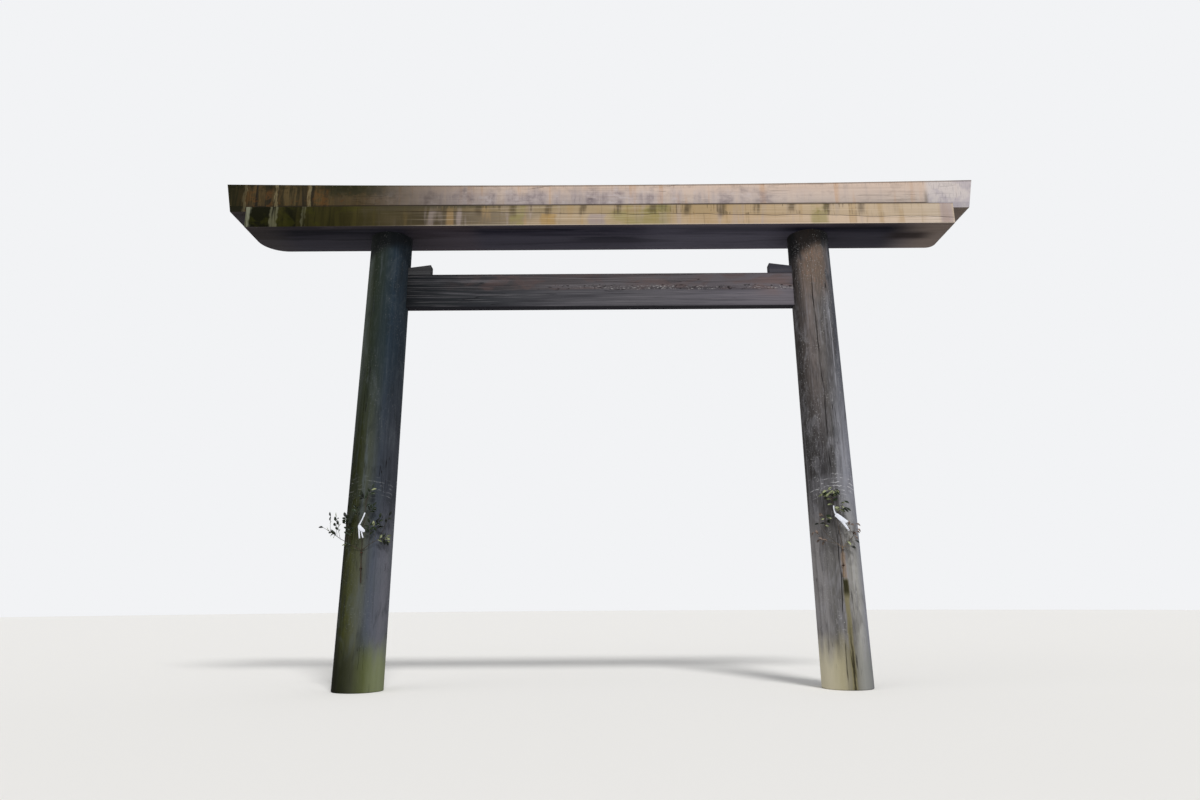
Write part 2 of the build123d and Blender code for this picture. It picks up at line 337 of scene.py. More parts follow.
@dataclass(frozen=True)
class LogFinish:
    """Peeled cypress log, silvered outdoors: a dull grey skin with a long wandering drying check.

    Algae greens it towards the ground, the lintel's shadow is painted across its top, and the sprig, swung
    by the wind, has scratched pale arcs into its front. Tones run across the front from -X to +X, with
    painted side shade in them.

    The fields from specks to check_depth, and grain, say how strong those marks are on this log. The
    pale line's place is its X on the log, its half width and the heights of its two ends.
    """

    name: str
    side: Side
    high: tuple[str, ...]
    middle: tuple[str, ...]
    low: tuple[str, ...]
    foot: tuple[str, ...]
    shade: str
    pale: str
    seed: float
    specks: float
    scratches: float
    trail: float
    warm_top: float
    check_depth: float
    line_place: tuple[float, float, float, float]
    grain: float
    arc_reach: float = 0.74
    arc_spacing: float = 0.047

    def build(self) -> bpy.types.Material:
        """Makes the material.

        Returns:
            The log's material.
        """
        sign = self.side.value
        lean = math.atan2(POST_LEAN, SOFFIT_HEIGHT)
        skin = Skin(self.name, (sign * FOOT_SPACING / 2, 0.0, 0.0), -sign * lean)
        seed = self.seed
        clouds = skin.figure((150, 150, 420), seed + 2, 5.0, 0.6)
        streaks = skin.figure((34, 34, 1300), seed + 1, 3.0, 0.2)
        # Fibres are under a millimetre wide: drawn 9 mm wide, so that they show
        fibres = skin.figure((9, 9, 110), seed, 4.0)
        across = skin.x.moved(skin.figure((90, 90, 1400), seed + 3, 3.0), 0.1)
        upright = skin.z.moved(skin.figure((110, 110, 500), seed + 12, 3.0), 0.45)
        # The tones across each row hold painted side shade, mostly darker towards -X
        rows = (self.high, self.middle, self.low, self.foot)
        high, middle, low, foot = (across.tones(-0.25, 0.25, row) for row in rows)
        # Each row of tones takes over from the one above it between two heights
        colour = skin.z.spread(4.2, 2.5).blend(high, middle)
        colour = skin.z.spread(2.35, 1.45).blend(colour, low)
        colour = colour.coat(
            (clouds.spread(0.49, 0.34) * 0.42, self.shade),
            (clouds.spread(0.52, 0.68) * 0.28, self.pale),
            (streaks.spread(0.54, 0.7) * (0.26 * self.grain), self.pale),
            (streaks.spread(0.47, 0.34) * (0.36 * self.grain), self.shade),
            (fibres.spread(0.53, 0.7) * (0.3 * self.grain), self.pale),
            (fibres.spread(0.47, 0.32) * (0.34 * self.grain), self.shade),
            *self.top_stains(skin, clouds, fibres),
        )
        colour = (upright.spread(0.68, 0.24) * 0.85).blend(colour, foot)
        colour = colour.coat(*self.sprig_marks(skin))
        checks = self.checks(skin)
        colour = colour.coat((checks * 0.85, "191817"))
        relief = fibres * 1.8 + streaks * 2.5 - checks * 6.0
        return skin.finish(colour, relief, fibres.spread(-1.2, 1.4), TIMBER_GLOSS)

    def top_stains(self, skin: Skin, clouds: Figure, fibres: Figure) -> list[Stain]:
        """Makes the warm stains and the lintel's painted shadow on the log's top, a pale line and the
        specks of lichen further down.

        Args:
            skin: The timber's skin.
            clouds: Its broad figure.
            fibres: Its finest figure.

        Returns:
            Each stain's mask and colour.
        """
        front = skin.face_y.spread(0.1, -0.5)
        middle = skin.x.distance(-0.02).spread(0.24, 0.08)
        warm = middle * skin.z.spread(4.5, 5.1) * clouds.spread(0.34, 0.52) * self.warm_top
        lichen = (
            skin.figure((12, 12, 16), self.seed + 7, 1.0).spread(0.64, 0.71)
            * skin.figure((160, 160, 420), self.seed + 8, 2.0).spread(0.42, 0.58)
            * front
            * self.specks
        )
        place, half_width, low, high = self.line_place
        line = (
            skin.x.moved(clouds, 0.02).distance(place).spread(half_width, half_width * 0.3)
            * skin.z.distance((low + high) / 2).spread((high - low) / 2, (high - low) / 5)
            * fibres.spread(0.36, 0.5)
            * front
        )
        # The lintel's shadow is painted across the log's top: a dark band whose lower edge slants across
        # the front
        shadow = skin.z - skin.x * 0.45
        return [
            (warm, "66574b"),
            (warm * fibres.spread(0.54, 0.66) * 0.6, "8e6b56"),
            (warm * fibres.spread(0.44, 0.34) * 0.5, "3a302b"),
            (line * 0.55, self.pale),
            (shadow.spread(5.3, 5.46) * 0.85, "1b1c1e"),
            (lichen, "a8a7a6"),
        ]

    def sprig_marks(self, skin: Skin) -> list[Stain]:
        """Makes the arcs that the swinging sprig scratches, and the wet trail under its cut end.

        Args:
            skin: The timber's skin.

        Returns:
            Each mark's mask and colour.
        """
        front = skin.face_y.spread(-0.1, -0.5)
        rise = skin.z - SPRIG_FORK_HEIGHT
        reach = skin.x.reach(rise)
        uneven = reach.moved(skin.figure((70, 70, 90), self.seed + 13, 2.0), 0.05)
        swept = (
            reach.distance(self.arc_reach).spread(0.17, 0.05) * rise.spread(0.42, 0.62) * front
            * self.scratches
        )
        arcs = (
            uneven.waves(self.arc_spacing).spread(0.7, 1.0)
            * skin.figure((80, 80, 70), self.seed + 9, 3.0).spread(0.46, 0.62)
            * swept
        )
        wobble = skin.figure((40, 40, 160), self.seed + 14, 3.0)
        off = skin.x.moved(wobble, 0.05).distance(0.002)
        trail = off.spread(0.042, 0.012) * skin.z.spread(1.235, 1.19) * front * self.trail
        beside = off.spread(0.034, 0.016) * skin.z.distance(1.37).spread(0.17, 0.12) * front * self.trail
        return [
            (swept * 0.2, self.pale),
            (arcs * 0.95, "c2c2c4"),
            (beside * 0.55, "8d7866"),
            (trail * 0.75, "7a7353"),
            (trail * skin.z.distance(1.14).spread(0.16, 0.05) * 0.95, "2b2a1a"),
            (trail * off.spread(0.02, 0.002) * skin.z.spread(0.95, 0.25) * 0.9, "28251b"),
        ]

    def checks(self, skin: Skin) -> Figure:
        """Makes the long check down the front and a few short ones all round.

        Args:
            skin: The timber's skin.
        """
        off = skin.x.moved(skin.figure((EVEN, EVEN, 1500), self.seed + 4, 3.0), -0.17)
        main = (
            off.distance(-0.058).spread(0.0085, 0.002)
            * skin.face_y.spread(-0.2, -0.5)
            * skin.figure((400, 400, 520), self.seed + 5, 2.0).spread(0.34, 0.48)
            * skin.z.spread(5.2, 4.7)
            * self.check_depth
        )
        short = (
            skin.figure((60, 60, 1500), self.seed + 6, 2.0).lines(0.012)
            * skin.figure((240, 240, 420), self.seed + 10, 2.0).spread(0.56, 0.66)
        )
        return main | short


@dataclass(frozen=True)
class BeamFinish:
    """Squared cypress beam: its sunlit faces bleached, its underside painted dark as shade, its ends open
    grain.

    The grain runs along X. The stains of the front and back come from each beam's own finish.
    """

    name: str
    bottom: float
    height: float
    half_depth: float
    seed: float
    ring_spacing: float = 0.011

    def build(self) -> bpy.types.Material:
        """Makes the material.

        Returns:
            The beam's material.
        """
        skin = Skin(self.name, (0.0, 0.0, self.bottom))
        # Growth lines are 2 mm apart: drawn 15 mm apart, so that they show
        grain = skin.figure((1100, 15, 15), self.seed, 3.0, 0.1)
        colour, checks = self.face(skin, grain)
        ends = skin.face_x.distance(0.0).spread(0.75, 0.92)
        upper = skin.face_z.spread(0.25, 0.7)
        clouds = skin.figure((500, 300, 300), self.seed + 9, 4.0, 0.4)
        colour = colour.coat(
            (upper * 0.85, "6f6a63"),
            (upper * clouds.spread(0.44, 0.66) * 0.65, "5b5d44"),
            (upper * clouds.spread(0.46, 0.3) * 0.5, "8e8a84"),
            (upper * grain.spread(0.5, 0.7) * 0.4, "4a4a3c"),
        )
        # Faces turned down take the underside's colour, which is painted shade
        colour = skin.face_z.spread(-0.25, -0.75).blend(colour, self.underside(skin, grain))
        rings = self.rings(skin)
        colour = colour.coat(
            (ends * 0.9, "837568"),
            (ends * rings * 0.6, "54493f"),
            (ends * clouds.spread(0.46, 0.58) * 0.6, "4f4c38"),
        )
        relief = grain * 1.5 - checks * 5.0 - ends * rings * 2.0
        return skin.finish(colour, relief, grain.spread(-1.4, 1.3), TIMBER_GLOSS)

    def face(self, skin: Skin, grain: Figure) -> tuple[Figure, Figure]:
        """Makes the front's and back's colour and the checks in them.

        Args:
            skin: The timber's skin.
            grain: Its fine figure.
        """
        raise NotImplementedError

    def underside(self, skin: Skin, grain: Figure) -> Figure:
        """Makes the underside's colour: dark, as painted shade under the beam, with a darker band behind
        the front arris.

        Args:
            skin: The timber's skin.
            grain: Its fine figure.

        Returns:
            The colour.
        """
        slow = skin.figure((1500, 120, 120), self.seed + 7, 3.0, 0.5)
        depth = skin.y.moved(slow, 0.13)
        reach = self.half_depth
        tones = ("51494e", "12121d", "2d2b36", "413f49", "3c3a44", "42404b", "4a474f")
        colour = depth.tones(-reach, reach * 0.85, tones)
        stain = skin.x.distance(4.05).spread(0.42, 0.1) * skin.y.distance(-0.05).spread(0.16, 0.04)
        return colour.coat(
            (slow.spread(0.5, 0.62) * 0.45, "413f4a"),
            (slow.spread(0.46, 0.36) * depth.spread(0.3, -0.1) * 0.6, "12121b"),
            (skin.x.patch(1.5, 0.9) * 0.3, "5e5c68"),
            (skin.x.patch(-2.05, 0.45) * 0.35, "453a3b"),
            (skin.x.patch(-0.7, 1.0) * 0.15, "1c1b26"),
            (skin.x.patch(3.45, 0.5) * 0.45, "18181c"),
            (skin.x.spread(-1.6, -3.0) * 0.5, "161617"),
            (skin.x.spread(-3.9, -4.4) * 0.35, "453f3a"),
            (skin.x.spread(3.7, 4.4) * 0.78, "766a62"),
            (grain.spread(0.52, 0.7) * 0.25, "403c40"),
            (grain.spread(0.46, 0.32) * 0.35, "0f0f12"),
            (stain * 0.8, "17100f"),
        )

    def rings(self, skin: Skin) -> Figure:
        """Makes the growth rings and star checks of a sawn end.

        Args:
            skin: The timber's skin.
        """
        rise = skin.z - self.height * 0.45
        uneven = skin.figure((160, 160, 160), self.seed + 11, 2.0)
        # Rings are 3 mm apart: drawn 11 mm apart, so that they show
        lines = skin.y.reach(rise).moved(uneven, 0.03).waves(self.ring_spacing).spread(0.3, 0.9)
        turn = rise.add("ShaderNodeMath", {0: rise, 1: skin.y}, operation="ARCTAN2")
        spokes = turn.add(
            "ShaderNodeTexNoise", {"W": turn, "Scale": 5.0, "Detail": 2.0}, noise_dimensions="1D"
        )
        stars = spokes.lines(0.012) * uneven.spread(0.4, 0.52)
        return lines * 0.5 | stars


@dataclass(frozen=True)
class UpperFinish(BeamFinish):
    """The upper beam's faces: pink-tan above, with lilac-grey weather stains along the lower half."""

    curve_rise: float = 0.04
    half_length: float = 4.8

    def face(self, skin: Skin, grain: Figure) -> tuple[Figure, Figure]:
        """Makes the faces' colour and checks.

        Args:
            skin: The timber's skin.
            grain: Its fine figure.
        """
        seed = self.seed
        share = skin.z * (1.0 / self.height)
        wet = skin.figure((300, 300, 300), seed + 1, 3.0, 0.2)
        panels = skin.figure((230, 200, 1500), seed + 16, 3.0)
        runs = skin.figure((16, 30, 120), seed + 2, 3.0)
        bands = skin.figure((110, 90, 1600), seed + 3, 3.0, 0.3)
        slow = skin.figure((1400, 900, 900), seed + 4, 2.0)
        blotches = skin.figure((130, 90, 80), seed + 14, 3.0, 0.2)
        edge = share.moved(skin.figure((150, 90, 900), seed + 15, 3.0), 0.8)
        # The height over an underside that curves up to each end
        level = skin.z - skin.x * skin.x * (self.curve_rise / self.half_length ** 2)
        clean = skin.x.spread(1.5, 5.5)
        lilac = panels.spread(0.34, 0.52) * edge.spread(0.9, 0.5) * skin.x.spread(4.4, -0.6)
        colour = share.tones(0.0, 1.0, ("b0a49c", "b9aa9f", "c5b0a1", "cbb3a1"))
        checks = (
            skin.figure((2400, 110, 90), seed + 5, 2.0, 0.1).lines(0.006)
            * skin.figure((600, 300, 300), seed + 6, 2.0).spread(0.52, 0.62)
        )
        colour = colour.coat(
            (slow.spread(0.42, 0.6) * 0.35, "d0bfb3"),
            (bands.spread(0.57, 0.68) * 0.46, "bd9168"),
            (bands.spread(0.44, 0.34) * 0.3, "a79a96"),
            (blotches.spread(0.54, 0.68) * 0.34, "9c8a80"),
            (lilac * 0.6, "a59ca1"),
            (lilac * panels.spread(0.46, 0.62) * blotches.spread(0.36, 0.64) * 0.78, "645b65"),
            (lilac * runs.spread(0.54, 0.7) * 0.45, "6a626c"),
            (lilac * blotches.spread(0.44, 0.3) * 0.5, "c6bec1"),
            (share.spread(0.74, 0.98) * runs.spread(0.5, 0.66) * 0.5, "6d5a4a"),
            (clean * 0.35, "c6b8ae"),
            (grain.spread(0.52, 0.72) * 0.24, "d6c8bc"),
            (grain.spread(0.48, 0.3) * 0.26, "87766b"),
            # A dark band low on the face: the painted shadow line where the lower beam's top edge meets it
            (share.spread(0.225, 0.195) * 0.85, "40352f"),
            (checks * 0.45, "54483f"),
        )
        fresh = skin.x.moved(runs, 0.05).spread(4.2, 4.3)
        colour = colour.coat(
            (fresh * 0.7, "c7c1c1"),
            (fresh * wet.spread(0.44, 0.58) * 0.5, "9b939e"),
            (fresh * runs.spread(0.54, 0.68) * 0.4, "7d767c"),
            (skin.x.distance(4.24).spread(0.04, 0.0) * share.spread(0.75, 0.4) * 0.5, "5f564b"),
            (level.spread(0.324, 0.338) * 0.6, "5a4e45"),
        )
        return self.shaded_end(skin, colour, share, runs, wet), checks

    def shaded_end(self, skin: Skin, colour: Figure, share: Figure, runs: Figure, wet: Figure) -> Figure:
        """Darkens the end towards -X, partly as painted shade and partly as dark algae stain, with rusty
        drips and pale washed streaks.

        Args:
            skin: The timber's skin.
            colour: The faces' colour.
            share: The share of the face's height.
            runs: The figure of fine upright streaks.
            wet: The figure of broad stains.

        Returns:
            The colour.
        """
        wander = skin.x.moved(skin.figure((EVEN, EVEN, 130), self.seed + 12, 2.0), 0.1)
        stripes = skin.figure((105, 90, 1500), self.seed + 8, 4.0, 0.6)
        rust = skin.figure((70, 90, 60), self.seed + 13, 3.0, 0.4)
        washed = wander.patch(-4.62, 0.022) | wander.patch(-4.21, 0.022) | wander.patch(-3.78, 0.022)
        rusty = wander.patch(-4.55, 0.07) | wander.patch(-4.3, 0.04) | wander.patch(-3.62, 0.09)
        high_up = share.moved(rust, 0.7).spread(0.42, 0.72)
        shaded = stripes.tones(0.36, 0.64, ("12110a", "272110", "4e3e22", "28240f", "5a4b2c"))
        shaded = shaded.coat(
            (skin.x.spread(-3.75, -3.35) * 0.8, "483c27"),
            (high_up * skin.x.spread(-3.8, -3.4) * 0.8, "1a1f0d"),
            (skin.x.patch(-4.13, 0.28) * 0.35, "1c1a0c"),
        )
        # A gradual darkening towards -X: painted shade
        colour = colour.coat(
            (skin.x.spread(1.0, -0.6) * 0.14, "8d8178"),
            (skin.x.spread(-0.9, -2.3) * 0.66, "625850"),
        )
        colour = (skin.x.moved(wet, 0.5).spread(-1.9, -3.2) * 0.95).blend(colour, shaded)
        end = skin.x.spread(-2.6, -3.3)
        return colour.coat(
            (end * share.spread(0.6, 0.95) * rust.spread(0.44, 0.54) * 0.5, "1c1d0f"),
            (end * rust.spread(0.54, 0.68) * share.spread(0.85, 0.45) * 0.36, "5a3b1d"),
            # The painted shadow line at the face's foot again, darker towards -X
            (end * share.spread(0.225, 0.19) * 0.6, "0d0f07"),
            (end * runs.spread(0.56, 0.7) * 0.35, "14150c"),
            # The painted shadow line at the face's foot again, over the coats that lighten it
            (skin.x.spread(-0.9, -2.0) * share.spread(0.225, 0.195) * 0.85, "2c261f"),
            (rusty * rust.spread(0.4, 0.56) * share.spread(0.9, 0.7) * 0.42, "5f4224"),
            (end * washed * runs.spread(0.34, 0.56) * 0.5, "857a5c"),
            (skin.x.spread(-4.5, -4.68) * 0.75, "15170c"),
        )


@dataclass(frozen=True)
class LowerFinish(BeamFinish):
    """The lower beam's faces: straw-tan, split along by one long check, with moss above the split."""

    split_height: float = 0.162
    split_slope: float = -0.0165
    first_drip: float = -0.673
    drip_spacing: float = 0.4453

    def face(self, skin: Skin, grain: Figure) -> tuple[Figure, Figure]:
        """Makes the faces' colour and checks.

        Args:
            skin: The timber's skin.
            grain: Its fine figure.
        """
        seed = self.seed
        wave = skin.figure((800, EVEN, EVEN), seed + 1, 3.0)
        # The long check sinks a little towards +X, and the stains over and under it differ
        path = skin.x * self.split_slope + self.split_height
        over = skin.z - path.moved(wave, 0.085)
        split = over.distance(0.0).spread(0.005, 0.001) * skin.x.spread(-2.7, -2.4)
        above = over.spread(0.0, 0.012)
        below = over.spread(-0.004, -0.016)
        wander = skin.x.moved(skin.figure((EVEN, EVEN, 110), seed + 16, 2.0), 0.09)
        blots = skin.figure((280, 300, 190), seed + 2, 4.0, 0.3)
        panels = skin.figure((170, 200, 1500), seed + 3, 3.0, 0.3)
        runs = skin.figure((30, 40, 500), seed + 4, 3.0, 0.2)
        slow = skin.figure((1500, 900, 900), seed + 5, 2.0)
        # The tones darken towards -X, partly as painted shade and partly as algae stain
        colour = skin.x.tones(-2.2, 4.2, ("3c352a", "8b7d69", "988665", "b59c7d", "c2ad96", "cbbbac"))
        mossy = wander.patch(0.5, 0.38) | wander.patch(2.8, 0.11) | wander.patch(-1.06, 0.09)
        # The dark drips are evenly spaced
        beat = wander - self.first_drip
        beat = beat.add("ShaderNodeMath", {0: beat, 1: self.drip_spacing / 2}, operation="PINGPONG")
        drips = (
            beat.spread(0.07, 0.015)
            * skin.x.spread(4.1, 3.1)
            * skin.z.moved(skin.figure((240, 300, EVEN), seed + 17, 2.0), 0.22).spread(0.09, 0.2)
            * runs.spread(0.26, 0.48)
        )
        small = skin.x.spread(4.0, 2.9) * 0.6
        smeared = skin.x.spread(-0.9, -1.9) * runs.spread(0.3, 0.5)
        colour = colour.coat(
            (slow.spread(0.44, 0.58) * 0.35, "cdb59b"),
            (panels.spread(0.54, 0.66) * 0.42, "ac8c5e"),
            (panels.spread(0.46, 0.36) * 0.45, "a99b98"),
            (above * 0.36, "86744f"),
            (below * wander.patch(-0.66, 0.1) * 0.65, "a3834b"),
            (below * wander.patch(-0.04, 0.11) * 0.6, "91868c"),
            (mossy * blots.spread(0.3, 0.56) * 0.62, "8b8450"),
            (mossy * above * blots.spread(0.42, 0.62) * 0.65, "5c5a32"),
            (drips * 0.75, "4e4334"),
            (above * blots.spread(0.5, 0.6) * runs.spread(0.5, 0.62) * small, "4d4333"),
            (runs.spread(0.58, 0.72) * 0.3, "6f604a"),
            (grain.spread(0.52, 0.72) * 0.3, "d9c8b0"),
            (grain.spread(0.48, 0.3) * 0.3, "86724f"),
            # A dark line along the top of the face: the painted shadow under the upper beam
            (skin.z.spread(0.262, 0.276) * 0.65, "40372b"),
            (smeared * skin.z.spread(0.225, 0.26) * 0.6, "33352a"),
            (skin.x.patch(4.42, 0.08) * 0.55, "998a90"),
            # A pale line along the bottom arris: a painted highlight
            (skin.z.spread(0.014, 0.006) * 0.5, "dcd0bd"),
        )
        # Towards -X the face darkens further: partly painted shade, partly dark algae stain
        shaded = skin.x.moved(blots, 0.5).spread(-2.0, -3.4)
        washed = wander.patch(-4.17, 0.05) | wander.patch(-3.79, 0.025) * 0.6
        colour = colour.coat(
            (skin.x.spread(-1.9, -2.6) * 0.75, "4c4330"),
            (shaded * 0.95, "2e2a12"),
            (skin.x.spread(-2.95, -3.85) * 0.94, "0f1007"),
            (above * skin.x.spread(-1.5, -2.1) * skin.x.spread(-3.2, -2.6) * 0.4, "3f3a30"),
            (shaded * panels.spread(0.5, 0.66) * 0.32, "45401e"),
            (shaded * blots.spread(0.5, 0.62) * 0.35, "39390f"),
            (shaded * runs.spread(0.44, 0.32) * 0.4, "121309"),
            (washed * runs.spread(0.34, 0.52) * 0.55, "6a6853"),
            (wander.spread(-4.45, -4.49) * runs.spread(0.34, 0.5) * 0.6, "8a8b76"),
            (split * 0.8, "33281f"),
        )
        return colour, split


@dataclass(frozen=True)
class TieFinish:
    """Sheltered cypress tie beam and wedges: grey-brown, with a line of small flaking knots.

    Tones run along the beam from -X to +X.
    """

    name: str
    bottom: float
    tones: tuple[str, ...]
    seed: float

    def build(self) -> bpy.types.Material:
        """Makes the material.

        Returns:
            The tie beam's material.
        """
        skin = Skin(self.name, (0.0, 0.0, self.bottom))
        seed = self.seed
        # Growth lines are 2 mm apart: drawn 12 mm apart, so that they show
        grain = skin.figure((700, 12, 12), seed, 3.0, 0.15)
        bands = skin.figure((1700, 60, 60), seed + 1, 3.0, 0.3)
        clouds = skin.figure((380, 300, 140), seed + 2, 4.0, 0.5)
        colour = skin.x.tones(-2.6, 2.6, self.tones)
        off = skin.z.moved(skin.figure((700, EVEN, EVEN), seed + 6, 2.0), 0.05)
        above = off.spread(0.215, 0.245)
        knots = (
            off.distance(0.255).spread(0.036, 0.012)
            * skin.figure((30, 60, 11), seed + 3, 2.0).spread(0.56, 0.64)
            * skin.figure((420, 900, 900), seed + 8, 2.0).spread(0.36, 0.52)
            * skin.x.spread(-0.9, 0.9)
        )
        dark_knots = (
            off.distance(0.262).spread(0.05, 0.02)
            * skin.figure((55, 60, 24), seed + 7, 2.0).spread(0.58, 0.67)
            * skin.x.spread(-1.1, -0.4)
        )
        checks = (
            skin.figure((1700, 90, 90), seed + 4, 2.0, 0.1).lines(0.008)
            * skin.figure((500, 300, 300), seed + 5, 2.0).spread(0.5, 0.6)
        )
        warm_end = skin.x.spread(1.9, 2.3) * skin.z.distance(0.26).spread(0.16, 0.08)
        colour = colour.coat(
            (above * clouds.spread(0.46, 0.62) * skin.x.spread(-2.2, -1.2) * 0.5, "5e4a47"),
            (above * skin.x.spread(-2.2, -0.8) * 0.3, "504643"),
            (bands.spread(0.54, 0.7) * 0.3, "716e73"),
            (bands.spread(0.46, 0.32) * 0.42, "27262a"),
            (warm_end * clouds.spread(0.4, 0.56) * 0.4, "73605d"),
            (grain.spread(0.52, 0.72) * 0.3, "7d797c"),
            (grain.spread(0.48, 0.3) * 0.36, "242327"),
            (dark_knots * 0.8, "1a1819"),
            (knots * 0.7, "aaa6a6"),
            (checks * 0.7, "1d1c1e"),
            (skin.z.spread(0.43, 0.446) * 0.5, "242225"),
            (skin.z.spread(0.03, 0.0) * 0.5, "252429"),
            # Faces turned down are darkened: painted shade under the tie beam and its wedges
            (skin.face_z.spread(-0.4, -0.8) * 0.85, "1c1b21"),
        )
        relief = grain * 1.6 + bands * 2.0 + knots * 2.5 - checks * 4.0
        return skin.finish(colour, relief, grain.spread(-1.4, 1.3), TIMBER_GLOSS)


@dataclass(frozen=True)
class LeafFinish:
    """Evergreen leaf skin: glossy above and matt below, a little unlike from leaf to leaf."""

    name: str
    deep: str
    light: str
    roughness: float

    def build(self) -> bpy.types.Material:
        """Makes the material.

        Returns:
            The leaf's material.
        """
        skin = Skin(self.name)
        patches = skin.figure((55, 55, 55), 2.0, 2.0)
        veins = skin.figure((7, 7, 7), 5.0, 2.0)
        colour = patches.tones(0.4, 0.6, (self.deep, self.light))
        colour = colour.coat((veins.spread(0.55, 0.7) * 0.35, self.light))
        return skin.finish(colour, veins * 0.5, self.roughness, gloss=0.2)


@dataclass(frozen=True)
class BarkFinish:
    """Thin young bark, darker on the shoots, with rings where leaves once grew."""

    name: str
    tone: str

    def build(self) -> bpy.types.Material:
        """Makes the material.

        Returns:
            The bark's material.
        """
        skin = Skin(self.name)
        rings = skin.figure((30, 30, 9), 3.0, 2.0)
        patches = skin.figure((40, 40, 90), 6.0, 3.0)
        colour = patches.tones(0.3, 0.55, ("2b2014", self.tone))
        shoots = skin.z.spread(SPRIG_FORK_HEIGHT, SPRIG_FORK_HEIGHT + 0.06)
        colour = colour.coat(
            (rings.spread(0.56, 0.68) * 0.6, "241b12"),
            (shoots * 0.8, "3a332b"),
        )
        return skin.finish(colour, rings * 0.8, 0.8)


@dataclass(frozen=True)
class PaperFinish:
    """White handmade paper, with long fibres in it and soft creases from the folding."""

    name: str

    def build(self) -> bpy.types.Material:
        """Makes the material.

        Returns:
            The paper's material.
        """
        skin = Skin(self.name)
        fibres = skin.figure((5, 5, 14), 4.0, 3.0, 0.6)
        damp = skin.figure((60, 60, 90), 9.0, 2.0)
        colour = fibres.tones(0.35, 0.6, ("d3d6df", "e3e6ef"))
        colour = colour.coat((damp.spread(0.52, 0.72) * 0.4, "c3c4c8"))
        return skin.finish(colour, fibres * 0.25 + damp * 1.5, 0.85)


@dataclass(frozen=True)
class IronFinish:
    """Rusty iron wire, blackened where it is hammered in."""

    name: str

    def build(self) -> bpy.types.Material:
        """Makes the material.

        Returns:
            The wire's material.
        """
        skin = Skin(self.name)
        rust = skin.figure((6, 6, 8), 7.0, 4.0)
        stops = [(0.35, "1c1512"), (0.55, "3a241a"), (0.7, "5c3420")]
        colour = rust.add("ShaderNodeValToRGB", {"Fac": rust}, stops)
        return skin.finish(colour, rust * 0.8, rust.spread(-0.4, 0.9))


class Leaf(Enum):
    """A leaf's state, as the first of its two material slots on a sprig."""

    FRESH = 0
    PALE = 2
    DRY = 4


# In the order of a sprig's slots: the name, the deep and the light tone, and the roughness
LEAF_LOOKS = (
    ("leaf_top", "080b05", "1f2a16", 0.36),
    ("leaf_underside", "7d875f", "b7ba94", 0.55),
    ("pale_leaf_top", "41472f", "979c76", 0.42),
    ("pale_leaf_underside", "6f735a", "b3b696", 0.55),
    ("dry_leaf_top", "2e2621", "847268", 0.60),
    ("dry_leaf_underside", "8f8078", "cbbbb0", 0.70),
)


@dataclass(frozen=True)
class Shoot:
    """A thin shoot of a sprig, with the leaves near its tip.

    Places are on the post: a height in metres, an angle in degrees from the post's front and a
    distance in metres from its surface.
    """

    route: tuple[tuple[float, float, float], ...]
    leaves: int
    kind: Leaf = Leaf.FRESH
    radius: float = 0.0022


def on_post(side: Side, height: float, angle: float, out: float) -> Vector:
    """Finds a place round a post.

    Args:
        side: The post.
        height: The height above the ground.
        angle: Degrees from the post's front, towards +X.
        out: The distance from the post's surface.

    Returns:
        The point.
    """
    axis = FOOT_SPACING / 2 - POST_LEAN * height / SOFFIT_HEIGHT
    reach = FOOT_RADIUS - (FOOT_RADIUS - TOP_RADIUS) * height / SOFFIT_HEIGHT + out
    turn = math.radians(angle)
    return Vector((side.value * axis + reach * math.sin(turn), -reach * math.cos(turn), height))


def new_piece(name: str, shape: bmesh.types.BMesh, *materials: bpy.types.Material) -> bpy.types.Object:
    """Makes a smooth object of a finished shape, at the origin.

    Args:
        name: The object's name.
        shape: Its mesh, which is given up.
        *materials: Its material slots, in order.

    Returns:
        The object.
    """
    mesh = bpy.data.meshes.new(name)
    shape.to_mesh(mesh)
    shape.free()
    for polygon in mesh.polygons:
        polygon.use_smooth = True
    for material in materials:
        mesh.materials.append(material)
    piece = bpy.data.objects.new(name, mesh)
    bpy.context.scene.collection.objects.link(piece)
    return piece


